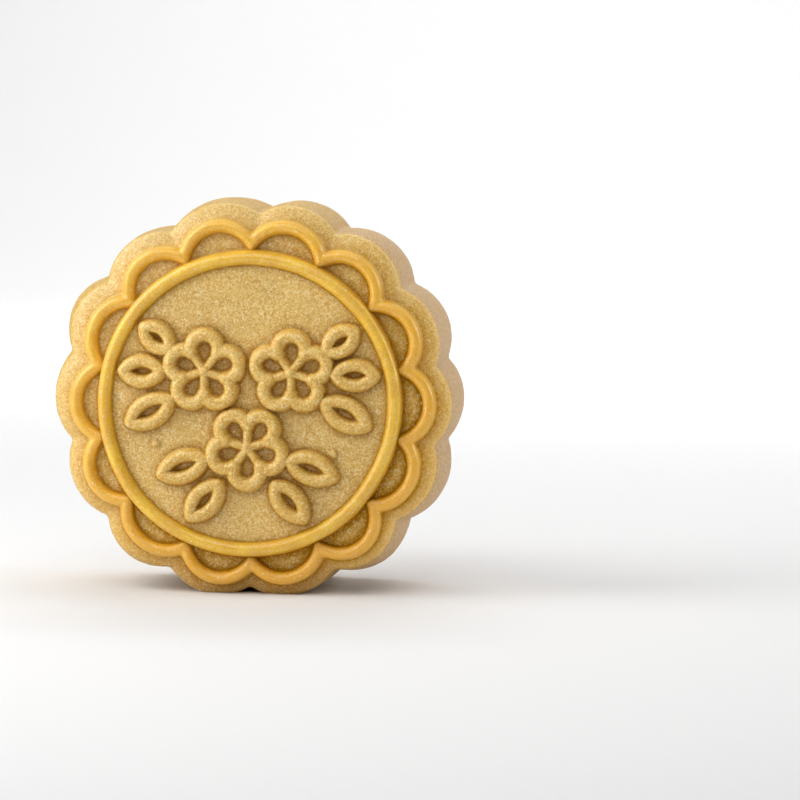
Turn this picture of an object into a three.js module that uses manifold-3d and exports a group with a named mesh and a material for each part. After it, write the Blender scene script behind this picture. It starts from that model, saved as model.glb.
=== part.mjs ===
// A baked mooncake, 65 mm across, standing on its scalloped rim.
// The moulded face looks along -Y. The cake rests on two lobes, whose undersides are flat at z = 0.
// The shape is worked out in face coordinates: u to the right, v up and w out of the face.
// w = 0 is the edge where the face meets the side wall. The last step turns the cake upright.
import * as THREE from 'three';
import { mergeVertices } from 'three/addons/utils/BufferGeometryUtils.js';
import Module from 'manifold-3d';

const wasm = await Module();
wasm.setup();

// Driving dimensions, in millimetres.
const LOBES = 14;
const EDGE_REACH = 31.9; // from the axis to a lobe's tip, at the face's edge
const LOBE_ARC = 9.2; // a lobe's own radius
const NOTCH_BLEND = 0.6; // softness of the notch between two lobes
const WALL_DEPTH = 27.4; // from the face's edge to the flat base
const BULGE_SKEW = 0.85; // below 1, the wall's swelling is widest nearer the face than the base
const FACE_CORNER = 0.5; // rounding where the wall meets the face
const BASE_CORNER = 2.8; // rounding where the wall meets the base
const AXIS_HEIGHT = 30.93; // of the cake's axis above what it stands on

// A baked cake isn't even. The lobes are counted from the +u side round by +v.
const BULGES = [0.8, 0.3, 0.85, 0.65, 0.9, 0.7, 1.95, 0.95, 1.25, 1.45, 0.5, 0.3, 1.5, 1.35];
// Each notch of the wall, between two lobes, is turned round the axis by this many degrees.
const NOTCH_TURNS = [-1.2, -0.85, -0.35, -1.8, 0.5, -0.1, -1.0, 0.3, 0.6, 0, -0.1, 0.85, 0, 0];
// Each leg of the wavy rope, between two of its lobes, is turned likewise.
const LEG_TURNS = [0.15, 0.1, -0.15, -0.2, -0.8, -0.65, 0, 0.7, 0.65, 2.15, 1.35, 0.7, -0.2, 0];
// How much farther out than the others the wavy rope bows over each lobe.
const BOWS = [0.2, 0.2, 0.15, 0.3, 0.35, 0, -0.45, -0.25, -0.1, -0.25, 0.1, 0.2, 0.6, 0.15];

// The face steps up from the edge: flange, crescents under the wavy rope, then the domed field.
const FLANGE = { top: 1.05, width: 3.2 }; // it rounds over towards the edge
const CRESCENT = { outer: 1.25, inner: 1.65 };
const FIELD = { edge: 2.9, centre: 3.8 };

// A ridge is round at its crest and has straight, steep sides.
const RING = { reach: 23.25, crest: 4.3, round: 1.05, slope: 5 };
const WAVE = { reach: 28.4, arc: 5.95, crest: 2.95, round: 0.96, slope: 5, blend: 0.5 };
const FILLET = 0.18; // where a ridge meets its floor

// The mould's relief sits a little aside of the axis. The flange evens that out towards its rim.
const RELIEF = { aside: [-0.1, -0.28], holdsFrom: 2.0 };

// The floral spray in the field. Heights are above the field.
const STROKE = { height: 2.1, round: 1.0, slope: 4 };
const LEAF_STROKE = { height: 1.9, round: 0.95, slope: 4 };
const SPOKE = { height: 1.6, round: 0.6, slope: 4 };
const BLOSSOM = { petals: 5, petalDistance: 3.6, petalRadius: 2.25, spokeFrom: 0.6 };
const BLOSSOM_CENTRES = [
  { at: [-7.0, 5.2], turn: Math.PI / 2 },
  { at: [7.0, 5.2], turn: Math.PI / 2 },
  { at: [0, -6.95], turn: -Math.PI / 2 },
];
const KNOB = { radius: 1.25, height: 1.9 };
const VENT = { radius: 0.7, height: 0.6 };
const VENT_PLACES = [[-14.9, -6.6], [13.9, -7.8]];

// Left-hand leaves, each from its stalk to its tip. The right-hand ones mirror them.
const LEAVES = [
  { from: [-12.7, 8.7], to: [-16.8, 11.8], width: 3.0 },
  { from: [-14.1, 4.9], to: [-20.1, 4.9], width: 3.3 },
  { from: [-12.6, 0.4], to: [-18.9, -3.2], width: 3.4 },
  { from: [-7.0, -8.9], to: [-13.6, -11.3], width: 3.4 },
  { from: [-4.6, -12.9], to: [-8.9, -18.0], width: 3.2 },
];

// Mesh fineness.
const COLUMNS_PER_LOBE = 8;
const COLUMNS = LOBES * COLUMNS_PER_LOBE;
const FIELD_SKIP = 4; // the field takes every fourth column only
const PETAL_STEPS = 8;
const PETAL_OVERLAP = THREE.MathUtils.degToRad(6); // of one petal's rope past the notch
const KNOB_SIDES = 10;
const LEAF_STEPS = 6;
const SINK = 0.5; // how far a motif's solid reaches below the field
const TIP = { reach: 0.9, size: 0.35, height: 0.4 }; // how a pointed ridge ends
const MIN_ROW_GAP = 0.08;
const CORNER_MIDDLE = 0.3; // of the face corner's inset, for the row half-way round it
const SHOULDER = 0.85; // of a ridge's rounding, where its cross-section bends
const HALVINGS = 40; // of an interval, when a radius is searched for

const TAU = 2 * Math.PI;
const LOBE_STEP = TAU / LOBES;

// ---- Distances and heights on the face ----

function smoothMax(a, b, softness) {
  const share = THREE.MathUtils.clamp(0.5 + (0.5 * (a - b)) / softness, 0, 1);
  return b + (a - b) * share + softness * share * (1 - share);
}

// A value between those given for the lobes or legs, at a place counted in lobes.
function betweenLobes(values, place) {
  const before = Math.floor(place);
  const at = (index) => values[THREE.MathUtils.euclideanModulo(index, values.length)];
  return THREE.MathUtils.lerp(at(before), at(before + 1), THREE.MathUtils.smoothstep(place - before, 0, 1));
}

// Signed distance to the outline of discs set round the axis, one of them on the +u axis.
function scallopDistance(u, v, discs, discDistance, discRadius, blend) {
  const step = TAU / discs;
  const angle = Math.atan2(v, u);
  const nearest = Math.round(angle / step) * step;
  const second = nearest + (angle >= nearest ? step : -step);
  const toDisc = (a) => Math.hypot(u - discDistance * Math.cos(a), v - discDistance * Math.sin(a));
  return -smoothMax(discRadius - toDisc(nearest), discRadius - toDisc(second), blend);
}

// How far the notches, or the legs of the wavy rope, are turned at an angle round the axis.
function turnAt(turns, angle) {
  return THREE.MathUtils.degToRad(betweenLobes(turns, angle / LOBE_STEP - 0.5));
}

function edgeDistance(u, v) {
  const [angle, reach] = [Math.atan2(v, u), Math.hypot(u, v)];
  const even = angle - turnAt(NOTCH_TURNS, angle);
  const [evenU, evenV] = [reach * Math.cos(even), reach * Math.sin(even)];
  return scallopDistance(evenU, evenV, LOBES, EDGE_REACH - LOBE_ARC, LOBE_ARC, NOTCH_BLEND);
}

function waveDistance(u, v) {
  const angle = Math.atan2(v, u);
  const reach = Math.hypot(u, v) - betweenLobes(BOWS, angle / LOBE_STEP);
  const even = angle - turnAt(LEG_TURNS, angle);
  const [evenU, evenV] = [reach * Math.cos(even), reach * Math.sin(even)];
  return scallopDistance(evenU, evenV, LOBES, WAVE.reach - WAVE.arc, WAVE.arc, WAVE.blend);
}

// How far a ridge has fallen from its crest at a distance from its centre-line.
function ridgeDrop(distance, round, slope) {
  const turn = (round * slope) / Math.hypot(1, slope);
  if (Math.abs(distance) < turn) return round - Math.sqrt(round ** 2 - distance ** 2);
  return round - round / Math.hypot(1, slope) + (Math.abs(distance) - turn) * slope;
}

function fieldHeight(u, v) {
  const share = (u * u + v * v) / RING.reach ** 2;
  return THREE.MathUtils.lerp(FIELD.centre, FIELD.edge, share);
}

function flangeHeight(inset) {
  const rise = FLANGE.top * (1 - (1 - Math.min(inset / FLANGE.width, 1)) ** 2);
  if (inset >= FACE_CORNER) return rise;
  return rise - (FACE_CORNER - Math.sqrt(FACE_CORNER ** 2 - (FACE_CORNER - inset) ** 2));
}

function crescentHeight(reach) {
  const share = THREE.MathUtils.smoothstep(reach, RING.reach, WAVE.reach);
  return THREE.MathUtils.lerp(CRESCENT.inner, CRESCENT.outer, share);
}

// How far a point of the face moves with the relief: not at all at the rim, wholly from the rope inwards.
function asideAt(u, v) {
  const hold = THREE.MathUtils.smoothstep(-edgeDistance(u, v), FACE_CORNER, RELIEF.holdsFrom);
  return RELIEF.aside.map((way) => way * hold);
}

function faceHeight(u, v) {
  const reach = Math.hypot(u, v);
  const wave = waveDistance(u, v);
  const ringHeight = RING.crest - ridgeDrop(reach - RING.reach, RING.round, RING.slope);
  if (reach < RING.reach) return smoothMax(fieldHeight(u, v), ringHeight, FILLET);
  const floor = wave < 0 ? crescentHeight(reach) : flangeHeight(Math.max(-edgeDistance(u, v), 0));
  const waveHeight = WAVE.crest - ridgeDrop(wave, WAVE.round, WAVE.slope);
  return smoothMax(smoothMax(floor, ringHeight, FILLET), waveHeight, FILLET);
}

// ---- The cake's body: rows of points round the axis, from the middle of the face to the base ----

// The radius, between two limits, at which a distance function first reaches a value.
function radiusWhere(distance, angle, value, low, high = EDGE_REACH) {
  let [from, to] = [low, high];
  for (let halving = 0; halving < HALVINGS; halving += 1) {
    const middle = (from + to) / 2;
    if (distance(middle * Math.cos(angle), middle * Math.sin(angle)) < value) from = middle;
    else to = middle;
  }
  return (from + to) / 2;
}

function bulgeAt(angle, share) {
  return betweenLobes(BULGES, angle / LOBE_STEP) * Math.sin(Math.PI * share ** BULGE_SKEW);
}

const FIELD_RADII = [10, 19];
const RING_OFFSETS = [-1.4, -1.0, -0.4, 0.4];
const CRESCENT_OFFSETS = [1.0, 1.5];
const WAVE_OFFSETS = [-1.4, -0.97, -0.4, 0.4, 0.97, 1.45];
const WALL_SHARES = [0.2, 0.42, 0.65, 1 - BASE_CORNER / WALL_DEPTH];

const heightAt = (radius, angle) => faceHeight(radius * Math.cos(angle), radius * Math.sin(angle));

// The points of one column from the ring outwards, as [radius, angle, w]. The column turns with the
// wavy rope and then with the wall, so that each leg of the rope and each notch is on a column.
function columnPoints(angle) {
  const turned = angle + turnAt(LEG_TURNS, angle);
  const waveRadius = (offset) => radiusWhere(waveDistance, turned, offset, RING.reach);
  const radii = RING_OFFSETS.map((offset) => RING.reach + offset);
  const crestEdge = waveRadius(WAVE_OFFSETS[2]);
  const between = [
    ...CRESCENT_OFFSETS.map((offset) => RING.reach + offset),
    ...WAVE_OFFSETS.slice(0, 2).map(waveRadius),
  ];
  between.forEach((radius, place) => {
    const lowest = radii.at(-1) + MIN_ROW_GAP;
    const highest = crestEdge - (between.length - place) * MIN_ROW_GAP;
    radii.push(Math.min(Math.max(radius, lowest), highest));
  });
  WAVE_OFFSETS.slice(2).forEach((offset) => radii.push(waveRadius(offset)));
  const points = radii.map((radius) => [radius, turned, heightAt(radius, turned)]);

  const edgeAngle = angle + turnAt(NOTCH_TURNS, angle);
  const edgeRadius = (inset) => radiusWhere(edgeDistance, edgeAngle, -inset, RING.reach);
  const cornerStart = edgeRadius(FACE_CORNER);
  const [flangeMiddle, flangeAngle] = [(radii.at(-1) + cornerStart) / 2, (turned + edgeAngle) / 2];
  points.push([flangeMiddle, flangeAngle, heightAt(flangeMiddle, flangeAngle)]);
  for (const radius of [cornerStart, edgeRadius(CORNER_MIDDLE * FACE_CORNER)]) {
    points.push([radius, edgeAngle, heightAt(radius, edgeAngle)]);
  }
  const edge = edgeRadius(0);
  const wallPoint = (share) => [edge + bulgeAt(edgeAngle, share), edgeAngle, -share * WALL_DEPTH];
  points.push([edge, edgeAngle, -FACE_CORNER], ...WALL_SHARES.map(wallPoint));
  const [lastRadius, , lastHeight] = points.at(-1);
  for (const turn of [Math.PI / 4, Math.PI / 2]) {
    const inset = BASE_CORNER * (1 - Math.cos(turn));
    points.push([lastRadius - inset, edgeAngle, lastHeight - BASE_CORNER * Math.sin(turn)]);
  }
  return points;
}

function solidFrom(points, triangles) {
  const mesh = new wasm.Mesh({
    numProp: 3,
    vertProperties: new Float32Array(points.flat()),
    triVerts: new Uint32Array(triangles.flat()),
  });
  return new wasm.Manifold(mesh);
}

function solidFromGeometry(geometry) {
  geometry.deleteAttribute('normal');
  geometry.deleteAttribute('uv');
  const welded = mergeVertices(geometry);
  return solidFrom(Array.from(welded.getAttribute('position').array), Array.from(welded.getIndex().array));
}

function bodySolid() {
  const points = [];
  const addPoint = (radius, angle, w) => {
    const [u, v] = [radius * Math.cos(angle), radius * Math.sin(angle)];
    const [asideU, asideV] = w > 0 ? asideAt(u, v) : [0, 0];
    return points.push([u + asideU, v + asideV, w]) - 1;
  };
  const outer = Array.from({ length: COLUMNS }, (_, column) => {
    return columnPoints((column * TAU) / COLUMNS).map((point) => addPoint(...point));
  });
  const spokes = Array.from({ length: COLUMNS / FIELD_SKIP }, (_, spoke) => spoke * FIELD_SKIP);
  const inner = spokes.map((column) => {
    const angle = (column * TAU) / COLUMNS;
    return FIELD_RADII.map((radius) => addPoint(radius, angle, heightAt(radius, angle)));
  });
  const middle = addPoint(0, 0, faceHeight(0, 0));
  const base = addPoint(0, 0, -WALL_DEPTH);

  const triangles = [];
  const addStrip = (here, there) => {
    for (let row = 0; row + 1 < here.length; row += 1) {
      triangles.push([here[row], here[row + 1], there[row + 1]], [here[row], there[row + 1], there[row]]);
    }
  };
  outer.forEach((here, column) => {
    const there = outer[(column + 1) % COLUMNS];
    addStrip(here, there);
    triangles.push([base, there.at(-1), here.at(-1)]);
  });
  inner.forEach((here, spoke) => {
    const there = inner[(spoke + 1) % inner.length];
    addStrip(here, there);
    triangles.push([middle, here[0], there[0]]);
    const rim = Array.from({ length: FIELD_SKIP + 1 }, (_, step) => (spokes[spoke] + step) % COLUMNS);
    rim.slice(1).forEach((column, step) => {
      const root = step < FIELD_SKIP / 2 ? here.at(-1) : there.at(-1);
      triangles.push([root, outer[rim[step]][0], outer[column][0]]);
    });
    triangles.push([here.at(-1), outer[rim[FIELD_SKIP / 2]][0], there.at(-1)]);
  });
  return solidFrom(points, triangles);
}

// ---- The spray: ridges swept along short curves ----

// A ridge's cross-section as [sideways, height] pairs, from its left foot over the crest.
function sectionOf({ height, round, slope }) {
  const shoulder = SHOULDER * round;
  const shoulderHeight = height - ridgeDrop(shoulder, round, slope);
  const foot = shoulder + (shoulderHeight + SINK) / slope;
  const side = [[foot, -SINK], [shoulder, shoulderHeight]];
  const otherSide = side.map(([sideways, above]) => [-sideways, above]).reverse();
  return [...side, [0, height], ...otherSide];
}

// Sweeps a ridge along a curve's points. A pointed ridge narrows to a tip past each end.
function ridgeSolid(path, stroke, pointed = false) {
  const section = sectionOf(stroke);
  const line = path.map((point, place) => {
    const ahead = path[Math.min(place + 1, path.length - 1)];
    const behind = path[Math.max(place - 1, 0)];
    return { point, direction: ahead.clone().sub(behind).normalize(), size: 1 };
  });
  if (pointed) {
    const tip = ({ point, direction }, side) => ({
      point: point.clone().addScaledVector(direction, side * TIP.reach * stroke.round),
      direction,
      size: TIP.size,
    });
    line.push(tip(line.at(-1), 1));
    line.unshift(tip(line[0], -1));
  }
  const points = [];
  line.forEach(({ point, direction, size }) => section.forEach(([sideways, height]) => {
    const u = point.x - direction.y * sideways * size;
    const v = point.y + direction.x * sideways * size;
    const above = height > 0 ? height * THREE.MathUtils.lerp(TIP.height, 1, size) : height;
    points.push([u, v, fieldHeight(point.x, point.y) + above]);
  }));
  const corners = section.length;
  const triangles = [];
  for (let place = 0; place + 1 < line.length; place += 1) {
    for (let corner = 0; corner < corners; corner += 1) {
      const next = (corner + 1) % corners;
      const [here, there] = [place * corners, (place + 1) * corners];
      triangles.push([here + corner, here + next, there + next]);
      triangles.push([here + corner, there + next, there + corner]);
    }
  }
  const last = (line.length - 1) * corners;
  for (let corner = 1; corner + 1 < corners; corner += 1) {
    triangles.push([0, corner + 1, corner]);
    triangles.push([last, last + corner, last + corner + 1]);
  }
  return solidFrom(points, triangles);
}

function arcPath(centre, radius, from, to, steps) {
  return Array.from({ length: steps + 1 }, (_, step) => {
    const angle = THREE.MathUtils.lerp(from, to, step / steps);
    return new THREE.Vector2(centre.x + radius * Math.cos(angle), centre.y + radius * Math.sin(angle));
  });
}

// A low round knob on the field: a ball, stretched and half sunk.
function knobSolid(u, v, { radius, height }) {
  const ball = new THREE.SphereGeometry(1, KNOB_SIDES, KNOB_SIDES / 2);
  ball.rotateX(Math.PI / 2);
  ball.scale(radius, radius, height);
  ball.translate(u, v, fieldHeight(u, v));
  return solidFromGeometry(ball);
}

function blossomSolids({ at: [u, v], turn }) {
  const { petals, petalDistance, petalRadius, spokeFrom } = BLOSSOM;
  const half = Math.PI / petals;
  const towards = (angle, reach) => {
    return new THREE.Vector2(u + reach * Math.cos(angle), v + reach * Math.sin(angle));
  };
  // Neighbouring petals meet at a notch, on the line half-way between them.
  const halfGap = petalDistance * Math.sin(half);
  const notch = petalDistance * Math.cos(half) + Math.sqrt(petalRadius ** 2 - halfGap ** 2);
  const sweep = Math.atan2(notch * Math.sin(half), notch * Math.cos(half) - petalDistance) + PETAL_OVERLAP;
  const solids = [knobSolid(u, v, KNOB)];
  for (let petal = 0; petal < petals; petal += 1) {
    const angle = turn + petal * 2 * half;
    const centre = towards(angle, petalDistance);
    solids.push(ridgeSolid(arcPath(centre, petalRadius, angle - sweep, angle + sweep, PETAL_STEPS), STROKE));
    solids.push(ridgeSolid([towards(angle + half, spokeFrom), towards(angle + half, notch)], SPOKE));
  }
  return solids;
}

function leafSolids({ from, to, width }, mirror) {
  const start = new THREE.Vector2(from[0] * mirror, from[1]);
  const end = new THREE.Vector2(to[0] * mirror, to[1]);
  const axis = end.clone().sub(start);
  const length = axis.length();
  const radius = (length ** 2 / 4 + width ** 2 / 4) / width;
  const middle = start.clone().add(end).multiplyScalar(0.5);
  const across = new THREE.Vector2(-axis.y, axis.x).normalize();
  const halfTurn = Math.asin(length / 2 / radius);
  return [-1, 1].map((side) => {
    const centre = middle.clone().addScaledVector(across, side * (width / 2 - radius));
    const outward = Math.atan2(across.y * side, across.x * side);
    const path = arcPath(centre, radius, outward - halfTurn, outward + halfTurn, LEAF_STEPS);
    return ridgeSolid(path, LEAF_STROKE, true);
  });
}

// ---- Joining, standing it up and cutting the flats it rests on ----

function cakeSolid() {
  const motifs = [
    ...BLOSSOM_CENTRES.flatMap(blossomSolids),
    ...LEAVES.flatMap((leaf) => [...leafSolids(leaf, 1), ...leafSolids(leaf, -1)]),
    ...VENT_PLACES.map(([u, v]) => knobSolid(u, v, VENT)),
  ];
  let cake = bodySolid();
  for (const motif of motifs) cake = cake.add(motif.translate([...RELIEF.aside, 0]));
  const reach = 2 * EDGE_REACH;
  const under = new THREE.BoxGeometry(reach, reach, 2 * reach);
  under.translate(0, -AXIS_HEIGHT - reach / 2, 0);
  return cake.subtract(solidFromGeometry(under));
}

function cakeGeometry() {
  const mesh = cakeSolid().getMesh();
  const geometry = new THREE.BufferGeometry();
  geometry.setAttribute('position', new THREE.BufferAttribute(new Float32Array(mesh.vertProperties), 3));
  geometry.setIndex(new THREE.BufferAttribute(new Uint32Array(mesh.triVerts), 1));
  geometry.rotateX(Math.PI / 2);
  geometry.translate(0, 0, AXIS_HEIGHT);
  geometry.computeBoundingBox();
  const middle = geometry.boundingBox.getCenter(new THREE.Vector3());
  geometry.translate(-middle.x, -middle.y, 0);
  geometry.computeVertexNormals();
  return geometry;
}

const crust = new THREE.MeshStandardMaterial({ color: 0xd9ae6a, roughness: 0.7, metalness: 0 });
const mooncake = new THREE.Mesh(cakeGeometry(), crust);
mooncake.name = 'mooncake';

const part = new THREE.Group();
part.add(mooncake);
export default part;
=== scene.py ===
"""A baked mooncake standing on its scalloped rim: its fine surface, its crust and the studio round it.

The shape is worked out in face coordinates, in millimetres: u to the right, v up and w out of the face,
with w = 0 at the edge where the face meets the wall. The same named sizes as the CAD solid drive it.
"""
import math

import bpy
import numpy as np
from mathutils import Matrix, Vector


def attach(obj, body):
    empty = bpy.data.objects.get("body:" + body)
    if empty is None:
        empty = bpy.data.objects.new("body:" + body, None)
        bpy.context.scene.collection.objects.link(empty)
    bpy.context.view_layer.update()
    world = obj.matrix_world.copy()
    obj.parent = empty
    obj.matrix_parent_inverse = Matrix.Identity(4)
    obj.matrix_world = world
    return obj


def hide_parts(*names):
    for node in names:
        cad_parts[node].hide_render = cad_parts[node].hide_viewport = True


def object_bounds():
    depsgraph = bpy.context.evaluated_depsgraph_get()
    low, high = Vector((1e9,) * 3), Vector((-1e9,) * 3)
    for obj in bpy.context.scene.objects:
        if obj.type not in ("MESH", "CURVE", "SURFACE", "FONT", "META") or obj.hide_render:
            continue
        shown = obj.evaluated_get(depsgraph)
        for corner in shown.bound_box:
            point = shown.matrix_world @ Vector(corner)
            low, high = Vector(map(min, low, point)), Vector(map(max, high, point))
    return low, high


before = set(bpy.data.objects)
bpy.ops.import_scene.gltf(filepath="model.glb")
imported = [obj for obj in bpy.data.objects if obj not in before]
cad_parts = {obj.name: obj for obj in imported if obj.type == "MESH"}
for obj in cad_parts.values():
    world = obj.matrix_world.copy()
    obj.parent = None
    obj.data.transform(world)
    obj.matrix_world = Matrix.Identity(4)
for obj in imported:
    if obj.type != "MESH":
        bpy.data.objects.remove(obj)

CAD_BOX = [list(corner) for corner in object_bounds()]
MM = 0.001
TAU = 2 * math.pi

# ---- Sizes in millimetres, as in the CAD solid ----
LOBES = 14
EDGE_REACH = 31.9
OUTERMOST = EDGE_REACH + 2  # from the axis: past the most that the wall swells
LOBE_ARC = 9.2
NOTCH_BLEND = 0.6
WALL_DEPTH = 27.4
BULGE_SKEW = 0.85
FACE_CORNER = 0.5
BASE_CORNER = 2.8
AXIS_HEIGHT = 30.93
# For each lobe, from the +u side round by +v: how far its wall swells. For each notch of the wall, and
# each leg of the wavy rope, between two lobes: how many degrees it is turned round the axis.
BULGES = np.array([0.8, 0.3, 0.85, 0.65, 0.9, 0.7, 1.95, 0.95, 1.25, 1.45, 0.5, 0.3, 1.5, 1.35])
NOTCH_TURNS = np.array([-1.2, -0.85, -0.35, -1.8, 0.5, -0.1, -1.0, 0.3, 0.6, 0, -0.1, 0.85, 0, 0])
LEG_TURNS = np.array([0.15, 0.1, -0.15, -0.2, -0.8, -0.65, 0, 0.7, 0.65, 2.15, 1.35, 0.7, -0.2, 0])
# How much farther out than the others the wavy rope bows over each lobe.
BOWS = np.array([0.2, 0.2, 0.15, 0.3, 0.35, 0, -0.45, -0.25, -0.1, -0.25, 0.1, 0.2, 0.6, 0.15])

FLANGE_TOP, FLANGE_WIDTH = 1.05, 3.2
CRESCENT_OUTER, CRESCENT_INNER = 1.25, 1.65
FIELD_EDGE, FIELD_CENTRE = 2.9, 3.8

RING_REACH, RING_CREST, RING_ROUND, RING_SLOPE = 23.25, 4.3, 1.05, 5.0
WAVE_REACH, WAVE_ARC, WAVE_CREST, WAVE_ROUND, WAVE_SLOPE, WAVE_BLEND = 28.4, 5.95, 2.95, 0.96, 5.0, 0.5
FILLET = 0.18
RELIEF_ASIDE, RELIEF_HOLDS_FROM = (-0.1, -0.28), 2.0  # the relief sits aside of the axis, but for its rim

AXIS_ASIDE = (BULGES[LOBES // 2] - BULGES[0]) / 2  # of the axis, to the right of the middle of the box

# The spray of blossoms and leaves. A stroke is (height above the field, rounding, side slope).
STROKE = (2.1, 1.0, 4.0)
LEAF_STROKE = (1.9, 0.95, 4.0)
SPOKE = (1.6, 0.6, 4.0)
KNOB = (1.9, 1.0, 2.2)
MOTIF_FILLET = 0.18
PETALS, PETAL_DISTANCE, PETAL_RADIUS = 5, 3.6, 2.25
SPOKE_FROM, SPOKE_TO = 0.6, 3.4
BLOSSOMS = (((-7.0, 5.2), math.pi / 2), ((7.0, 5.2), math.pi / 2), ((0.0, -6.95), -math.pi / 2))
LEAVES = (  # each with its mirror image: the stalk, the tip and the width
    ((-12.7, 8.7), (-16.8, 11.8), 3.0),
    ((-14.1, 4.9), (-20.1, 4.9), 3.3),
    ((-12.6, 0.4), (-18.9, -3.2), 3.4),
    ((-7.0, -8.9), (-13.6, -11.3), 3.4),
    ((-4.6, -12.9), (-8.9, -18.0), 3.2),
)
VENTS = ((-14.9, -6.6), (13.9, -7.8))
VENT_RADIUS, VENT_HEIGHT = 0.7, 0.6
FAR_BELOW = -9.0  # the spray's height where there is none of it

# ---- Fineness of the mesh ----
COLUMNS = LOBES * 80
SIDE = COLUMNS // 4
FIELD_REACH, HUB_REACH = 20.9, 12.0  # of the plain grids in the middle of the face and of the base
ROWS_TO_RING, ROWS_TO_WAVE, ROWS_TO_CORNER, ROWS_ROUND_CORNER = 20, 40, 34, 6
ROWS_DOWN_WALL, ROWS_ROUND_BASE = 60, 10
BASE_RINGS = ((27.2, 1), (26.2, 2), (24.6, 2), (22.0, 1), (19.0, 1), (15.5, 1))  # radius, columns merged
HALVINGS = 30  # of the span in which a radius is looked for
ANGLES = np.arange(COLUMNS) * TAU / COLUMNS
COS, SIN = np.cos(ANGLES), np.sin(ANGLES)

# Shares of the texture's square. The face is at its lower left, the base at its lower right, and the wall
# lies above them in two strips.
FACE_SPAN = 2 * OUTERMOST
FACE_SHARE, WALL_LONG, WALL_TALL, BASE_SHARE = 0.60, 0.98, 0.17, 0.36
MARGIN, PAST_FACE = 0.01, 0.63

# ---- The unevenness of a baked cake, in millimetres ----
WARP, WARP_LENGTH = 0.16, 15.0
LUMP, LUMP_LENGTH = 0.05, 4.5
GRAIN, GRAIN_LENGTH = 0.028, 0.55
SECOND_GRAIN, SECOND_LENGTH = 0.6, 2.3  # as shares of the first grain's height and length
ROPE_SMOOTHNESS = 0.55
SEED = 7
BOX_EASE = 0.15  # how softly the unevenness stops at the CAD's box

# ---- The marks that tell the material what each point is: where they begin, and where they are full ----
MARKS = "rope wave motif rim wall floury base crease near low deep edge".split()
CREASE, HALO, LOOKS_ROUND = 0.5, 1.3, 10  # how far round a point its creases and its ridges are looked for
CREASE_SEEN, HALO_SEEN = (0.03, 0.4), (-0.05, 0.7)  # by hollowness
# How strong the painted shade in hollows and beside ridges is: inside the ring, in the crescents and on the
# flange.
CREASE_IN_FIELD = 0.9
CREASE_IN_CRESCENTS = (0.5, 0.9)  # at the upper left, and how much is added towards the lower right
CREASE_ON_FLANGE = 0.6  # at the lower right
# The side of the face towards which the painted shade grows.
SHADE_TOWARDS = math.radians(-50)
RING_GOLD, WAVE_GOLD_INSIDE, WAVE_GOLD_OUTSIDE = (1.05, 1.4), (1.1, 1.45), (0.7, 1.3)  # from the crest
INSIDE_RING = 1.2  # from the ring's crest
MOTIF_RISE = (0.5, 1.5)
RIM_BESIDE_WAVE = (-0.4, 0.6)
# Where the painted highlight along the lip begins and where it is full.
EDGE_LIP = (-2.4, -0.2)
WALL_PAST_CORNER = (-0.25, 0.1)
# Painted light on the wall's right side: where it begins and where it is full, to the right of the axis.
RIGHT_LIGHT_FROM = (4.0, 22.0)
BASE_UP = (0.1, 2.6)
BASE_IS_FLAT = 0.98  # by its mark
# Painted shade close to the ground: the heights where it is full and where it ends, and how much of it the
# ropes are spared.
LOW_UP, LOW_SPARES_ROPES = (1.0, 8.0), 0.9


# ---- Heights and distances ----
def ramp(low, high, x):
    t = np.clip((x - low) / (high - low), 0.0, 1.0)
    return t * t * (3 - 2 * t)


def smooth_max(a, b, softness):
    share = np.clip(0.5 + 0.5 * (a - b) / softness, 0.0, 1.0)
    return b + (a - b) * share + softness * share * (1 - share)


def between_lobes(values, angle, offset=0.0):
    """A value between those given for the lobes, or at an offset for the legs, at an angle."""
    place = angle / (TAU / LOBES) - offset
    before = np.floor(place).astype(int)
    share = ramp(0, 1, place - before)
    return values[before % LOBES] * (1 - share) + values[(before + 1) % LOBES] * share


def scallop_distance(u, v, distance, radius, blend):
    """Signed distance to the outline of the lobes' discs, one of them on the +u side."""
    half = math.pi / LOBES
    angle = (np.arctan2(v, u) + half) % (2 * half) - half
    reach = np.hypot(u, v)
    x, y = reach * np.cos(angle), reach * np.abs(np.sin(angle))
    nearest = np.hypot(x - distance, y) - radius
    second = np.hypot(x - distance * math.cos(2 * half), y - distance * math.sin(2 * half)) - radius
    return np.minimum(-smooth_max(-nearest, -second, blend), reach - distance)


def turned_even(u, v, turns, bows=np.zeros(LOBES)):
    """Where a point would be if the notches were evenly placed and every lobe were as wide."""
    angle = np.arctan2(v, u)
    even = angle - np.radians(between_lobes(turns, angle, 0.5))
    reach = np.hypot(u, v) - between_lobes(bows, angle)
    return reach * np.cos(even), reach * np.sin(even)


def edge_distance(u, v):
    return scallop_distance(*turned_even(u, v, NOTCH_TURNS), EDGE_REACH - LOBE_ARC, LOBE_ARC, NOTCH_BLEND)


def wave_distance(u, v):
    even_u, even_v = turned_even(u, v, LEG_TURNS, BOWS)
    return scallop_distance(even_u, even_v, WAVE_REACH - WAVE_ARC, WAVE_ARC, WAVE_BLEND)


def ridge_drop(distance, rounding, slope):
    """How far a ridge has fallen from its crest at a distance from its centre-line."""
    distance = np.abs(distance)
    turn = rounding * slope / math.hypot(1, slope)
    arc = rounding - np.sqrt(np.maximum(rounding**2 - np.minimum(distance, turn) ** 2, 0))
    return arc + np.maximum(distance - turn, 0) * slope


def segment_distance(u, v, start, end):
    du, dv = end[0] - start[0], end[1] - start[1]
    t = np.clip(((u - start[0]) * du + (v - start[1]) * dv) / (du * du + dv * dv), 0, 1)
    return np.hypot(u - start[0] - t * du, v - start[1] - t * dv)


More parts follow.
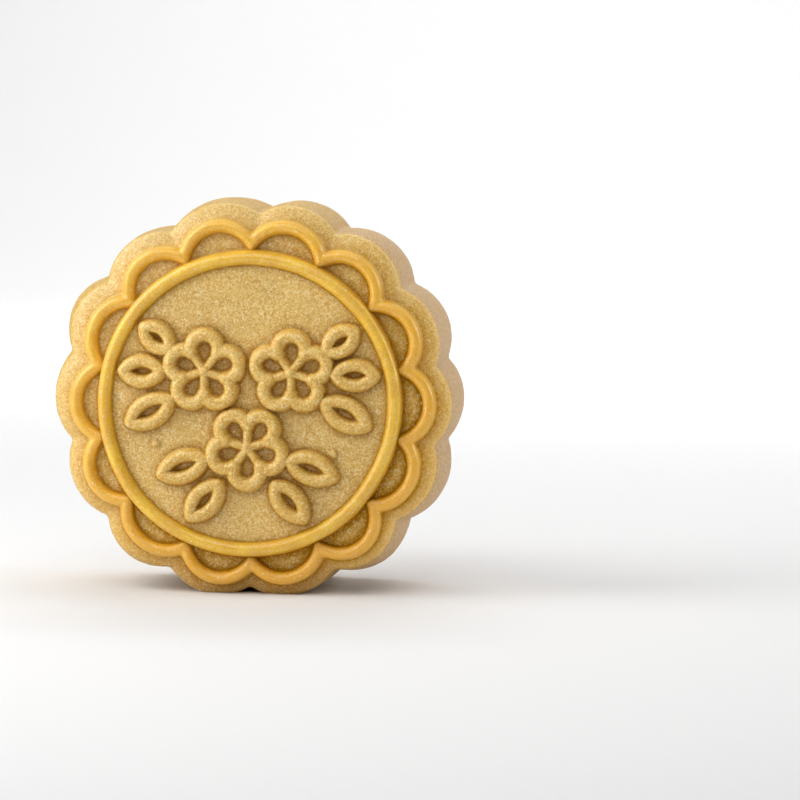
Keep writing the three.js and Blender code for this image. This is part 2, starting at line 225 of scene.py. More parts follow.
def arc_distance(x, y, radius, end_x, end_y):
    """Distance to an arc round the origin that runs from the +x axis both ways to (end_x, +-end_y)."""
    y = np.abs(y)
    beside = y * end_x <= x * end_y
    return np.where(beside, np.abs(np.hypot(x, y) - radius), np.hypot(x - end_x, y - end_y))


def leaf_distance(u, v, start, end, width):
    """Distance to a leaf's outline, two arcs that meet at its stalk and its tip."""
    du, dv = end[0] - start[0], end[1] - start[1]
    length = math.hypot(du, dv)
    radius = (length**2 + width**2) / (4 * width)
    middle = radius - width / 2
    along = ((u - start[0]) * du + (v - start[1]) * dv) / length - length / 2
    across = ((v - start[1]) * du - (u - start[0]) * dv) / length
    return arc_distance(np.abs(across) + middle, along, radius, middle, length / 2)


def blossom_height(x, y, turn):
    """Height above the field of a blossom's outline: one arc for each petal, which meet at notches."""
    half = math.pi / PETALS
    gap = PETAL_DISTANCE * math.sin(half)
    notch = PETAL_DISTANCE * math.cos(half) + math.sqrt(PETAL_RADIUS**2 - gap**2)
    end = (notch * math.cos(half) - PETAL_DISTANCE, notch * math.sin(half))
    reach = np.hypot(x, y)
    folded = np.abs((np.arctan2(y, x) - turn + half) % (2 * half) - half)
    heights = []
    for angle in (folded, 2 * half - folded):
        along, across = reach * np.cos(angle) - PETAL_DISTANCE, reach * np.sin(angle)
        heights.append(STROKE[0] - ridge_drop(arc_distance(along, across, PETAL_RADIUS, *end), *STROKE[1:]))
    return smooth_max(*heights, MOTIF_FILLET)


def field_height(u, v):
    share = (u * u + v * v) / RING_REACH**2
    return FIELD_CENTRE + (FIELD_EDGE - FIELD_CENTRE) * share


def motif_height(u, v):
    """The spray's height above the field, far below zero away from it."""
    height = np.full_like(u, FAR_BELOW)

    def add(distance, stroke):
        nonlocal height
        height = smooth_max(height, stroke[0] - ridge_drop(distance, stroke[1], stroke[2]), MOTIF_FILLET)

    for (cu, cv), turn in BLOSSOMS:
        x, y = u - cu, v - cv
        height = smooth_max(height, blossom_height(x, y, turn), MOTIF_FILLET)
        add(np.hypot(x, y), KNOB)
        for petal in range(PETALS):
            angle = turn + (petal + 0.5) * TAU / PETALS
            ends = [(reach * math.cos(angle), reach * math.sin(angle)) for reach in (SPOKE_FROM, SPOKE_TO)]
            add(segment_distance(x, y, *ends), SPOKE)
    for start, end, width in LEAVES:
        for mirror in (1, -1):
            add(leaf_distance(u * mirror, v, start, end, width), LEAF_STROKE)
    for cu, cv in VENTS:
        share = np.clip(np.hypot(u - cu, v - cv) / VENT_RADIUS, 0, 1)
        height = np.maximum(height, np.where(share < 1, VENT_HEIGHT * np.sqrt(1 - share**2), FAR_BELOW))
    return height


def flange_height(inset):
    return FLANGE_TOP * (1 - (1 - np.minimum(inset / FLANGE_WIDTH, 1)) ** 2)


def face_height(u, v):
    """w over the whole face, up to where its corner begins to turn."""
    reach = np.hypot(u, v)
    ring = RING_CREST - ridge_drop(reach - RING_REACH, RING_ROUND, RING_SLOPE)
    field = field_height(u, v)
    inside = smooth_max(smooth_max(field, field + motif_height(u, v), MOTIF_FILLET), ring, FILLET)
    wave = wave_distance(u, v)
    crescent = CRESCENT_INNER + (CRESCENT_OUTER - CRESCENT_INNER) * ramp(RING_REACH, WAVE_REACH, reach)
    floor = np.where(wave < 0, crescent, flange_height(-edge_distance(u, v)))
    rope = WAVE_CREST - ridge_drop(wave, WAVE_ROUND, WAVE_SLOPE)
    outside = smooth_max(smooth_max(floor, ring, FILLET), rope, FILLET)
    return np.where(reach < RING_REACH, inside, outside)


def radius_where(distance, value):
    """For each column, the radius past the ring at which a distance function reaches a value."""
    start, end = np.full(COLUMNS, RING_REACH), np.full(COLUMNS, OUTERMOST)
    for _ in range(HALVINGS):
        middle = (start + end) / 2
        below = distance(middle * COS, middle * SIN) < value
        start, end = np.where(below, middle, start), np.where(below, end, middle)
    return (start + end) / 2


def noise(points, length, seed):
    """Smooth random values from -1 to 1 at 3-D points, which change over about that length."""
    scaled = points / length + np.array([17.3, 5.9, 41.7]) * seed
    cell = np.floor(scaled).astype(np.int64)
    part = scaled - cell
    part = part**3 * (part * (part * 6 - 15) + 10)
    total = np.zeros(len(points))
    for corner in np.ndindex(2, 2, 2):
        # The corner's value is a hash of its place: large odd numbers that stir its bits.
        key = (cell + corner) @ np.array([73856093, 19349663, 83492791]) + seed * 2654435761
        key = (key ^ (key >> 13)) * 1274126177
        key = (key ^ (key >> 16)) & 0xFFFFFF
        weight = np.prod(np.where(corner, part, 1 - part), axis=1)
        total += weight * (key / 0x7FFFFF - 1)
    return total


# ---- The cake's mesh: points in rings round the axis, from the middle of the face to that of the base ----
class Surface:
    """Points, faces and texture places, gathered part by part."""

    def __init__(self):
        self.points = []  # arrays of [u, v, w]
        self.count = 0
        self.faces = []
        self.places = []  # one [s, t] for each corner of each face

    def add_points(self, u, v, w):
        """Adds points and returns their numbers."""
        block = np.stack([u, v, w], axis=-1).reshape(-1, 3)
        self.points.append(block)
        self.count += len(block)
        return np.arange(self.count - len(block), self.count)

    def add_ring(self, radius, w):
        """Adds one point for each column, all at one height."""
        return self.add_points(radius * COS, radius * SIN, np.full(COLUMNS, w))

    def add_faces(self, faces, places):
        """Adds faces, given as point numbers, with texture places or a function that gives them."""
        places = places(self.all_points()[faces]) if callable(places) else places
        self.faces.extend(faces.tolist())
        self.places.append(places.reshape(-1, 2))

    def all_points(self):
        return np.concatenate(self.points)


def face_place(points):
    return MARGIN + FACE_SHARE * (points[..., :2] / FACE_SPAN + 0.5)


def base_place(points):
    flipped = points[..., :2] * [-1, 1]
    return [PAST_FACE, MARGIN] + BASE_SHARE * (flipped / FACE_SPAN + 0.5)


def wall_places(depth_from, depth_to):
    """Places of one row of the wall, which is laid out as two strips, each half of the way round."""
    half = COLUMNS // 2
    column = np.arange(COLUMNS)
    second = column >= half
    s = MARGIN + WALL_LONG * (column - second * half) / half
    s_next = s + WALL_LONG / half
    foot = PAST_FACE + second * (WALL_TALL + MARGIN)
    t, t_next = foot + WALL_TALL * depth_from, foot + WALL_TALL * depth_to
    corners = [(s, t), (s, t_next), (s_next, t_next), (s_next, t)]
    return np.stack([np.stack(pair, axis=-1) for pair in corners], axis=1)


def strip(surface, here, there, places):
    """Quads between two rings of the same number of points."""
    after = np.roll(np.arange(len(here)), -1)
    surface.add_faces(np.stack([here, there, there[after], here[after]], axis=-1), places)


def merge_columns(surface, here, there):
    """Triangles between a ring and one inside it that has half as many points."""
    after = np.roll(np.arange(len(there)), -1)
    a, b, c = here[0::2], here[1::2], here[2 * after]
    for corners in ([a, there, b], [b, there[after], c], [b, there, there[after]]):
        surface.add_faces(np.stack(corners, axis=-1), base_place)


def disc_grid(surface, side, reach, height, place, mirrored=False):
    """A disc of side x side quads, side being even. Returns its rim's point numbers, by angle."""
    line = np.linspace(-1, 1, side + 1)
    x, y = np.meshgrid(line, line)
    wide = np.abs(x) >= np.abs(y)
    radius = np.where(wide, x, y)
    across = np.divide(np.where(wide, y, x), radius, out=np.zeros_like(x), where=radius != 0)
    angle = np.where(wide, across * math.pi / 4, math.pi / 2 - across * math.pi / 4)
    u, v = reach * radius * np.cos(angle), reach * radius * np.sin(angle)
    number = surface.add_points(u, v, height(u, v)).reshape(side + 1, side + 1)
    faces = np.stack([number[:-1, :-1], number[:-1, 1:], number[1:, 1:], number[1:, :-1]], axis=-1)
    faces = faces.reshape(-1, 4)
    surface.add_faces(faces[:, ::-1] if mirrored else faces, place)
    rim = np.concatenate([number[0], number[-1], number[1:-1, 0], number[1:-1, -1]])
    points = surface.all_points()[rim]
    order = np.round(np.arctan2(points[:, 1], points[:, 0]) / (TAU / (4 * side))).astype(int) % (4 * side)
    sorted_rim = np.empty(4 * side, int)
    sorted_rim[order] = rim
    return sorted_rim


def add_face(surface):
    """The field's grid, then rows over the ring and the wavy rope to where the face's corner begins."""
    previous = disc_grid(surface, SIDE, FIELD_REACH, face_height, face_place)
    field, ring = np.full(COLUMNS, FIELD_REACH), np.full(COLUMNS, RING_REACH)
    stops = [field, ring, radius_where(wave_distance, 0.0), radius_where(edge_distance, -FACE_CORNER)]
    for start, end, rows in zip(stops, stops[1:], (ROWS_TO_RING, ROWS_TO_WAVE, ROWS_TO_CORNER)):
        for row in range(1, rows + 1):
            radius = start + (end - start) * row / rows
            u, v = radius * COS, radius * SIN
            here = surface.add_points(u, v, face_height(u, v))
            strip(surface, previous, here, face_place)
            previous = here
    return previous


def add_corner(surface, previous):
    """The rounded corner between the face and the wall."""
    for row in range(1, ROWS_ROUND_CORNER + 1):
        turn = row / ROWS_ROUND_CORNER * math.pi / 2
        inset = FACE_CORNER * (1 - math.sin(turn))
        w = flange_height(inset) - FACE_CORNER * (1 - math.cos(turn))
        here = surface.add_ring(radius_where(edge_distance, -inset), w)
        strip(surface, previous, here, face_place)
        previous = here
    return previous


def add_wall(surface, previous):
    """The swelling wall. Returns its last ring, and that ring's radius in each column."""
    edge = radius_where(edge_distance, 0.0)
    most = between_lobes(BULGES, ANGLES)
    top, bottom = FACE_CORNER / WALL_DEPTH, 1 - BASE_CORNER / WALL_DEPTH
    for row in range(1, ROWS_DOWN_WALL + 1):
        share = top + (bottom - top) * row / ROWS_DOWN_WALL
        radius = edge + most * math.sin(math.pi * share**BULGE_SKEW)
        here = surface.add_ring(radius, -share * WALL_DEPTH)
        strip(surface, previous, here, wall_places((row - 1) / ROWS_DOWN_WALL, row / ROWS_DOWN_WALL))
        previous = here
    return previous, radius


def add_base_edge(surface, previous, radius):
    """The rounded edge between the wall and the base."""
    for row in range(1, ROWS_ROUND_BASE + 1):
        turn = row / ROWS_ROUND_BASE * math.pi / 2
        inset = BASE_CORNER * (1 - math.cos(turn))
        here = surface.add_ring(radius - inset, -WALL_DEPTH + BASE_CORNER * (1 - math.sin(turn)))
        strip(surface, previous, here, base_place)
        previous = here
    return previous


def add_base(surface, previous, radius):
    """The flat base: rings of ever fewer columns, in which the scallops fade, round a plain grid."""
    columns = COLUMNS
    rim_share = (radius - BASE_CORNER) / (EDGE_REACH - BASE_CORNER)
    for reach, merged in BASE_RINGS:
        columns //= merged
        rim_share = rim_share[::merged] ** 0.5
        angle = np.arange(columns) * TAU / columns
        u, v = reach * rim_share * np.cos(angle), reach * rim_share * np.sin(angle)
        here = surface.add_points(u, v, np.full(columns, -WALL_DEPTH))
        if merged == 1:
            strip(surface, previous, here, base_place)
        else:
            merge_columns(surface, previous, here)
        previous = here

    def flat(u, v):
        return np.full_like(u, -WALL_DEPTH)

    hub = disc_grid(surface, columns // 4, HUB_REACH, flat, base_place, mirrored=True)
    strip(surface, previous, hub, base_place)


def build_surface():
    surface = Surface()
    previous = add_corner(surface, add_face(surface))
    previous, radius = add_wall(surface, previous)
    add_base(surface, add_base_edge(surface, previous, radius), radius)
    return surface


# ---- What each point is, and where it ends up ----
def hollowness(u, v, distance):
    """How much higher the face is, on average, at a distance round each point than at the point."""
    around = np.zeros_like(u)
    for turn in range(LOOKS_ROUND):
        angle = turn * TAU / LOOKS_ROUND
        around += face_height(u + distance * math.cos(angle), v + distance * math.sin(angle))
    return around / LOOKS_ROUND - face_height(u, v)


def find_creases(u, v, on_face, strength):
    """How far each point is in a hollow, and how close it is to a ridge that rises beside it: where shade is
    painted.
    """
    crease, near = np.zeros_like(u), np.zeros_like(u)
    crease[on_face] = ramp(*CREASE_SEEN, hollowness(u[on_face], v[on_face], CREASE))
    near[on_face] = ramp(*HALO_SEEN, hollowness(u[on_face], v[on_face], HALO))
    return crease * strength, near * strength


def describe(points):
    """The marks, from 0 to 1, for every point.

    rope is the ring or the wavy rope, wave the wavy rope alone, motif the spray, rim the flange and edge its
    lip, where a highlight is painted. wall and base are the rest of the surface; the wall's right side is
    painted paler and greyer, as painted light. The other marks are painted shade: in the creases and beside
    the ridges, by how the face is hollowed, close to the ground, and towards the lower right of the face.
    """
    u, v, w = points.T
    reach = np.hypot(u, v)
    on_face = w > -FACE_CORNER
    # Painted shade: the lower right is painted darker and deeper in colour than the upper left, where the
    # light comes from.
    deep = 0.5 + 0.5 * np.cos(np.arctan2(v, u) - SHADE_TOWARDS)
    beside = wave_distance(u, v)
    in_crescents = CREASE_IN_CRESCENTS[0] + CREASE_IN_CRESCENTS[1] * deep
    strength = np.where(beside < 0, in_crescents, CREASE_ON_FLANGE * deep)
    strength = np.where(reach < RING_REACH, CREASE_IN_FIELD, strength)
    crease, near = find_creases(u, v, on_face, strength)

    ring = 1 - ramp(*RING_GOLD, np.abs(reach - RING_REACH))
    wave = (1 - ramp(*WAVE_GOLD_INSIDE, -beside)) * (1 - ramp(*WAVE_GOLD_OUTSIDE, beside))
    wave = wave * (reach > RING_REACH)
    rope = np.where(on_face, np.maximum(ring, wave), 0.0)
    inside = reach < RING_REACH - INSIDE_RING
    wall = 1 - ramp(-FACE_CORNER + WALL_PAST_CORNER[0], -FACE_CORNER + WALL_PAST_CORNER[1], w)
    return {
        "rope": rope,
        "wave": np.where(on_face, wave * (1 - ring), 0.0),
        "motif": np.where(on_face & inside, ramp(*MOTIF_RISE, motif_height(u, v)), 0.0),
        "rim": np.where(on_face & ~inside, ramp(*RIM_BESIDE_WAVE, beside), 0.0),
        "wall": wall,
        # Painted light: the wall's right side.
        "floury": wall * ramp(*RIGHT_LIGHT_FROM, u),
        "base": 1 - ramp(-WALL_DEPTH + BASE_UP[0], -WALL_DEPTH + BASE_UP[1], w),
        "crease": crease,
        "near": near,
        # Painted shade close to the ground.
        "low": (1 - ramp(*LOW_UP, v + AXIS_HEIGHT)) * (1 - LOW_SPARES_ROPES * rope),
        "deep": np.where(inside, 0.0, deep) * (1 - wall),
        "edge": np.where(on_face, ramp(*EDGE_LIP, edge_distance(u, v)), 0.0),
    }


def bake_unevenly(points, marks):
    """Moves every point a little, so that the cake is baked dough and not turned metal."""
    u, v, _ = points.T
    moved = points.copy()
    for axis in range(3):
        moved[:, axis] += WARP * noise(points, WARP_LENGTH, SEED + axis)
    out = np.stack([u, v, np.zeros_like(u)], axis=-1) / np.maximum(np.hypot(u, v), 1e-6)[:, None]
    front = np.clip(1 - marks["wall"], 0, 1)[:, None]
    normal = front * [0, 0, 1.0] + (1 - front) * out
    normal = np.where((marks["base"] > BASE_IS_FLAT)[:, None], [0, 0, -1.0], normal)
    smoothness = 1 - ROPE_SMOOTHNESS * marks["rope"]
    bumps = LUMP * noise(points, LUMP_LENGTH, SEED + 3)
    bumps += GRAIN * smoothness * noise(points, GRAIN_LENGTH, SEED + 4)
    bumps += SECOND_GRAIN * GRAIN * smoothness * noise(points, SECOND_LENGTH * GRAIN_LENGTH, SEED + 5)
    return moved + normal * bumps[:, None]


def set_relief_aside(points):
    """Moves the relief to its place, a little aside of the axis. The flange evens that out."""
    u, v, w = points.T
    hold = ramp(FACE_CORNER, RELIEF_HOLDS_FROM, -edge_distance(u, v)) * (w > 0)
    return points + hold[:, None] * np.array([*RELIEF_ASIDE, 0.0])


def stand_in_box(points):
    """Turns face coordinates into the frame's, eased in at the box's sides and cut flat underneath."""
    low, high = np.array(CAD_BOX) / MM
    u, v, w = points.T
    placed = np.stack([u + AXIS_ASIDE, high[1] - WALL_DEPTH - w, v + AXIS_HEIGHT], axis=-1)
    placed = -smooth_max(-placed, -high, BOX_EASE)
    placed[:, :2] = smooth_max(placed[:, :2], low[:2], BOX_EASE)
    return np.maximum(placed, low)


def make_cake():
    surface = build_surface()
    points = surface.all_points()
    marks = describe(points)
    placed = stand_in_box(bake_unevenly(set_relief_aside(points), marks))
    mesh = bpy.data.meshes.new("mooncake_crust")
    mesh.from_pydata((placed * MM).tolist(), [], surface.faces)
    for name, values in marks.items():
        mesh.attributes.new(name, "FLOAT", "POINT").data.foreach_set("value", values.astype(np.float32))
    layer = mesh.uv_layers.new(name="OFBake")
    layer.uv.foreach_set("vector", np.concatenate(surface.places).astype(np.float32).ravel())
    mesh.shade_smooth()
    cake = bpy.data.objects.new("mooncake_crust", mesh)
    bpy.context.scene.collection.objects.link(cake)
    return cake


# ---- Materials ----
# Colours on screen, from 0 to 255. A pair is what a colour goes from and to.
FIELD_DOUGH = (217, 176, 64), (227, 186, 76)
MOTIF_DOUGH = (228, 183, 48)
# The flange's colour at the lower right is painted shade.
FLANGE_DOUGH = (224, 178, 46), (216, 157, 16)  # upper left, lower right
# A painted highlight along the lip, paler than the flange and brightest at the lower right.
LIP_HIGHLIGHT = (220, 182, 78), (244, 202, 106)  # upper left, lower right
OILED_ROPE = (234, 180, 8), (245, 197, 20)
TOASTED_SHADED_ROPE = (241, 176, 12)
WALL_DOUGH = (202, 164, 82), (201, 165, 120)  # plain, and with painted light: paler and greyer on the right
BROWNED_BASE = (168, 120, 58), (194, 148, 80)
# Painted shade: beside the ridges, in the creases, and close to the ground.
HALO_SHADE_DOUGH, CREASE_SHADE_BROWN, GROUND_SHADE_BROWN = (184, 140, 22), (174, 120, 8), (150, 102, 24)
# The white of flour grains, and that of painted glints.
FLOUR, GLINT_WHITE = (253, 238, 192), (255, 248, 226)
GAP_TINT = (0.78, 0.56, 0.12, 1.0)  # the dough's linear colour is multiplied by it between flour grains
FLOOR_GREY, ROOM_GREY = (0.8, 0.8, 0.8, 1.0), (0.5, 0.5, 0.5, 1.0)

# Sizes of the speckles, in millimetres.
PATCH_SIZE, OIL_SIZE, MOTTLE_SIZE, CLUMP_SIZE, FINE_SIZE, GLINT_SIZE = 9.0, 3.5, 1.6, 0.7, 0.27, 0.3
MOTTLE_BUMP, GRAIN_BUMP = 0.10, 0.12  # heights in millimetres


def linear(colour):
    """A colour given as 0 to 255 on screen, as Blender's linear one."""
    def one(value):
        value /= 255
        return value / 12.92 if value <= 0.04045 else ((value + 0.055) / 1.055) ** 2.4
    return (*map(one, colour), 1.0)


class Nodes:
    """Short ways to add and join shader nodes."""

    MIX_A, MIX_B, MIX_RESULT = 6, 7, 2  # the colour sockets of a Mix node, whose names aren't unique

    def __init__(self, material):
        material.use_nodes = True
        self.tree = material.node_tree
        self.tree.nodes.clear()

    def add(self, kind, **settings):
        node = self.tree.nodes.new(kind)
        for name, value in settings.items():
            setattr(node, name, value)
        return node

    def feed(self, node, socket, value):
        """Links another node's output to a socket, or sets the socket to a value."""
        if isinstance(value, bpy.types.NodeSocket):
            self.tree.links.new(value, node.inputs[socket])
        else:
            node.inputs[socket].default_value = value

    def attribute(self, name):
        return self.add("ShaderNodeAttribute", attribute_name=name).outputs["Fac"]

    def noise(self, where, length, detail=2.0, roughness=0.5):
        """Cloudy values round 0.5, which change over about a length in millimetres."""
        node = self.add("ShaderNodeTexNoise")
        self.feed(node, "Vector", where)
        self.feed(node, "Scale", 1 / (length * MM))
        self.feed(node, "Detail", detail)
        self.feed(node, "Roughness", roughness)
        return node.outputs["Fac"]

    def math(self, operation, a, b=0.0, c=0.0):
        node = self.add("ShaderNodeMath", operation=operation)
        for place, value in enumerate((a, b, c)):
            self.feed(node, place, value)
        return node.outputs[0]

    def times(self, a, b):
        return self.math("MULTIPLY", a, b)

    def plus_times(self, start, a, b):
        """start + a * b"""
        return self.math("MULTIPLY_ADD", a, b, start)

    def range(self, value, low, high):
        """0 at a low value and 1 at a high one, with a soft start and end."""
        node = self.add("ShaderNodeMapRange", interpolation_type="SMOOTHSTEP")
        for socket, number in (("Value", value), ("From Min", low), ("From Max", high)):
            self.feed(node, socket, number)
        return node.outputs["Result"]

    def mix(self, share, a, b, blend="MIX"):
        node = self.add("ShaderNodeMix", data_type="RGBA", blend_type=blend)
        self.feed(node, "Factor", share)
        self.feed(node, self.MIX_A, a)
        self.feed(node, self.MIX_B, b)
        return node.outputs[self.MIX_RESULT]

    def between(self, share, pair):
        """A colour between the two of a pair."""
        return self.mix(share, linear(pair[0]), linear(pair[1]))

    def bump(self, height, distance, strength, below=None):
        node = self.add("ShaderNodeBump")
        self.feed(node, "Height", height)
        self.feed(node, "Distance", distance * MM)
        self.feed(node, "Strength", strength)
        if below is not None:
            self.feed(node, "Normal", below)
        return node.outputs["Normal"]

    def show(self, shader):
        output = self.add("ShaderNodeOutputMaterial")
        self.tree.links.new(shader.outputs[0], output.inputs["Surface"])


def dough_colour(n, where, mark, mottle):
    """The colour of each part of the crust, without its flour."""
    colour = n.between(n.range(n.noise(where, PATCH_SIZE, 3.0, 0.55), 0.35, 0.65), FIELD_DOUGH)
    colour = n.mix(n.times(mark["motif"], 0.9), colour, linear(MOTIF_DOUGH))
    # The flange is painted darker and deeper in colour towards the lower right: painted shade.
    flange, lip = n.between(mark["deep"], FLANGE_DOUGH), n.between(mark["deep"], LIP_HIGHLIGHT)
    # The lip gets its painted highlight.
    colour = n.mix(mark["rim"], colour, n.mix(n.times(mark["edge"], 0.7), flange, lip))
    oiled = n.between(n.range(n.noise(where, OIL_SIZE), 0.35, 0.65), OILED_ROPE)
    # The wavy rope is a little more orange all round, and more so towards the lower right, where that is
    # painted shade.
    toasted_and_shaded = n.times(mark["wave"], n.plus_times(0.4, mark["deep"], 0.5))
    colour = n.mix(mark["rope"], colour, n.mix(toasted_and_shaded, oiled, linear(TOASTED_SHADED_ROPE)))
    # The wall's right side is painted paler and greyer: painted light from the right.
    colour = n.mix(mark["wall"], colour, n.between(mark["floury"], WALL_DOUGH))
    colour = n.mix(mark["base"], colour, n.between(n.range(mottle, 0.3, 0.7), BROWNED_BASE))
    # Painted shade beside the ridges: the dough there is painted darker and deeper in colour, and brown in
    # the creases.
    colour = n.mix(n.times(mark["near"], 0.65), colour, linear(HALO_SHADE_DOUGH))
    colour = n.mix(n.times(mark["crease"], 0.8), colour, linear(CREASE_SHADE_BROWN))
    # Painted shade close to the ground, browner.
    return n.mix(n.times(mark["low"], 0.5), colour, linear(GROUND_SHADE_BROWN))


def dryness(n, mark):
    """How much flour the crust shows: least on the ropes, less on the rim, the wall and the base, and by
    ridges.
    """
    smooth = n.times(mark["rim"], n.plus_times(0.1, mark["deep"], 0.3))
    smooth = n.plus_times(n.plus_times(smooth, mark["base"], 0.25), mark["wall"], 0.35)
    smooth = n.plus_times(smooth, mark["near"], 0.25)
    return n.plus_times(n.math("SUBTRACT", 1.0, smooth), mark["rope"], -0.6)


def speckled(n, colour, where, mark, grain):
    """Strews a colour with whitish flour grains, with deeper yellow dough between them."""
    dry = dryness(n, mark)
    colour = n.mix(n.times(n.range(grain, 0.52, 0.34), dry), colour, GAP_TINT, "MULTIPLY")
    colour = n.mix(n.times(n.range(grain, 0.48, 0.68), n.times(dry, 0.62)), colour, linear(FLOUR))
    # Painted glints: a few white dots, a little more of them on the ropes.
    glints = n.range(n.plus_times(n.noise(where, GLINT_SIZE, 0.0), mark["rope"], 0.03), 0.8, 0.86)
    return n.mix(n.times(glints, 0.7), colour, linear(GLINT_WHITE))


def glossiness(n, mark):
    """The specular level: highest on the open face, lower on the ropes, beside them and on the wall."""
    gloss = n.plus_times(n.plus_times(0.9, mark["crease"], -0.4), mark["near"], -0.3)
    dull = n.times(mark["deep"], n.math("SUBTRACT", 1.0, mark["rope"]))
    gloss = n.plus_times(gloss, dull, -0.5)
    return n.plus_times(n.plus_times(gloss, mark["rope"], -0.2), mark["wall"], -0.8)


def crust_material():
    """Dry dough with flour grains, golden and oily on the ropes, with painted shade in the creases beside
    them.
    """
    material = bpy.data.materials.new("baked_crust")
    n = Nodes(material)
    where = n.add("ShaderNodeTexCoord").outputs["Object"]
    mark = {name: n.attribute(name) for name in MARKS}
    mottle = n.noise(where, MOTTLE_SIZE, 3.0, 0.6)
    fine, clumps = n.noise(where, FINE_SIZE, 2.0, 0.6), n.noise(where, CLUMP_SIZE, 1.0, 0.5)
    grain = n.plus_times(n.times(fine, 0.75), clumps, 0.25)

    shader = n.add("ShaderNodeBsdfPrincipled")
    n.feed(shader, "Base Color", speckled(n, dough_colour(n, where, mark, mottle), where, mark, grain))
    n.feed(shader, "Roughness", n.plus_times(0.52, mark["rope"], -0.12))
    n.feed(shader, "IOR", 1.7)
    n.feed(shader, "Specular IOR Level", glossiness(n, mark))
    n.feed(shader, "Subsurface Weight", 0.1)
    n.feed(shader, "Subsurface Radius", (1.0, 0.6, 0.3))
    n.feed(shader, "Subsurface Scale", 0.5 * MM)
    coarse = n.bump(mottle, MOTTLE_BUMP, 0.5)
    n.feed(shader, "Normal", n.bump(grain, GRAIN_BUMP, n.plus_times(0.9, mark["rope"], -0.4), coarse))
    n.show(shader)
    return material


def plain_material(name, colour, roughness):
    material = bpy.data.materials.new(name)
    n = Nodes(material)
    shader = n.add("ShaderNodeBsdfPrincipled")
    n.feed(shader, "Base Color", colour)
    n.feed(shader, "Roughness", roughness)
    n.show(shader)
    return material


# ---- The studio, in metres ----
VIEW_TURN, VIEW_RISE, VIEW_ROLL = math.radians(7.6), math.radians(4.0), math.radians(-0.55)
VIEW_DISTANCE = 0.6
FOCAL_PIXELS, FRAME_PIXELS, SENSOR_MM = 3665.0, 800, 36.0
CAKE_AT_PIXEL = (263.1, 394.9)  # where the middle of the cake's wall falls in the frame

# Lights on the cake: degrees right of its front, degrees up, distance, size and watts.
LIGHTS = (
    ("key", -72, 38, 0.35, 0.24, 0.78),
    ("low_left", -56, 10, 0.35, 0.16, 0.28),
    ("front", -3, 46, 0.35, 0.24, 0.43),
    ("high_right", 75, 60, 0.35, 0.20, 0.16),
    ("right_rim", 98, 22, 0.6, 0.2, 1.15),
    ("right_far", 66, 15, 1.2, 0.5, 0.36),
    ("left_rim", -100, 20, 0.6, 0.3, 0.19),
    ("behind", 180, 60, 0.6, 0.4, 0.46),
)
# Lights on the backdrop and on the far floor: where each is, where it looks, its size and watts.
FAR_LIGHTS = (
    ("backdrop", (0, 0.75, 0.8), (0, 1.3, 0.0), 1.0, 12.0),
    ("floor_left", (-0.9, 0, 0.9), (-2.0, 0, 0.3), 0.4, 14.0),
    ("floor_right", (0.9, 0, 0.9), (2.0, 0, 0.3), 0.4, 14.0),
    ("floor_front", (0, -0.9, 0.9), (0, -2.0, 0.3), 0.4, 14.0),
)
# The floor runs from behind the camera to a bend, which turns it up into the backdrop.
FLOOR_NEAR, FLOOR_FAR, FLOOR_HALF, BACKDROP_TOP = -2.5, 1.0, 2.5, 2.2
BEND, BEND_STEPS = 0.6, 16
FLOOR_ROUGHNESS = 0.8


def towards(turn, rise):
    """The direction from the cake that is turned right from its front, and up, by angles."""
    return Vector((math.sin(turn) * math.cos(rise), -math.cos(turn) * math.cos(rise), math.sin(rise)))


def add_camera():
    target = Vector((AXIS_ASIDE * MM, CAD_BOX[1][1] - WALL_DEPTH * MM / 2, AXIS_HEIGHT * MM))
    back = towards(VIEW_TURN, VIEW_RISE)
    right = Vector((0, 0, 1)).cross(back).normalized()
    straight = Matrix((right, back.cross(right), back))  # rows: the camera's axes, seen straight on
    x, y = CAKE_AT_PIXEL[0] - FRAME_PIXELS / 2, FRAME_PIXELS / 2 - CAKE_AT_PIXEL[1]
    ray = Vector((x / FOCAL_PIXELS, y / FOCAL_PIXELS, -1)).normalized()
    aside = Vector((0, 0, -1)).rotation_difference(ray).to_matrix()
    turned = aside @ Matrix.Rotation(VIEW_ROLL, 3, "Z") @ straight
    data = bpy.data.cameras.new("camera")
    data.sensor_width = SENSOR_MM
    data.lens = FOCAL_PIXELS / FRAME_PIXELS * SENSOR_MM
    data.clip_start, data.clip_end = 0.01, 20
    camera = bpy.data.objects.new("camera", data)
    camera.matrix_world = Matrix.Translation(target + back * VIEW_DISTANCE) @ turned.transposed().to_4x4()
    bpy.context.scene.collection.objects.link(camera)
    bpy.context.scene.camera = camera


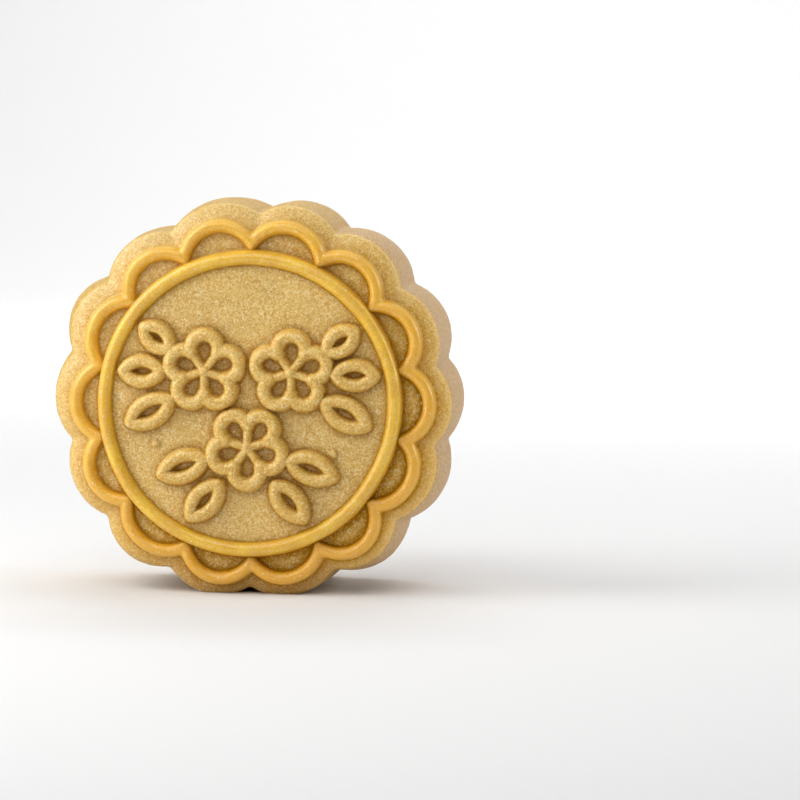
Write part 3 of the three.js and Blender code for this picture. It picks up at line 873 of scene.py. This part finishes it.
def add_area(name, place, aim, size, power):
    """A square soft light at a place that looks at another."""
    back = Vector(place) - Vector(aim)
    data = bpy.data.lights.new(name, "AREA")
    data.shape, data.size, data.energy = "SQUARE", size, power
    light = bpy.data.objects.new(name, data)
    light.matrix_world = Matrix.Translation(place) @ back.to_track_quat("Z", "Y").to_matrix().to_4x4()
    bpy.context.scene.collection.objects.link(light)


def add_lights():
    aim = Vector((0, 0, AXIS_HEIGHT * MM))
    for name, turn, rise, distance, size, power in LIGHTS:
        back = towards(math.radians(turn), math.radians(rise))
        add_area(name, aim + back * distance, aim, size, power)
    for light in FAR_LIGHTS:
        add_area(*light)


def add_floor():
    """A pale floor that curves up into a backdrop."""
    profile = [(FLOOR_NEAR, 0.0)]
    for step in range(BEND_STEPS + 1):
        turn = step / BEND_STEPS * math.pi / 2
        profile.append((FLOOR_FAR + BEND * math.sin(turn), BEND * (1 - math.cos(turn))))
    profile.append((FLOOR_FAR + BEND, BACKDROP_TOP))
    points = [(side * FLOOR_HALF, y, z) for y, z in profile for side in (-1, 1)]
    faces = [(2 * k, 2 * k + 1, 2 * k + 3, 2 * k + 2) for k in range(len(profile) - 1)]
    mesh = bpy.data.meshes.new("studio_floor")
    mesh.from_pydata(points, [], faces)
    mesh.shade_smooth()
    mesh.materials.append(plain_material("pale_floor", FLOOR_GREY, FLOOR_ROUGHNESS))
    floor = bpy.data.objects.new("studio_floor", mesh)
    bpy.context.scene.collection.objects.link(floor)


def add_room():
    """A pale grey past the floor, which is seen but lights nothing: the lamps alone do that."""
    world = bpy.data.worlds.new("studio")
    world.use_nodes = True
    background = world.node_tree.nodes["Background"]
    background.inputs["Color"].default_value = ROOM_GREY
    seen = world.node_tree.nodes.new("ShaderNodeLightPath").outputs["Is Camera Ray"]
    world.node_tree.links.new(seen, background.inputs["Strength"])
    bpy.context.scene.world = world
    bpy.context.scene.view_settings.view_transform = "Standard"


add_camera()
cake = make_cake()
cake.data.materials.append(crust_material())
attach(cake, "root")
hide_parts("mooncake")
add_floor()
add_room()
add_lights()
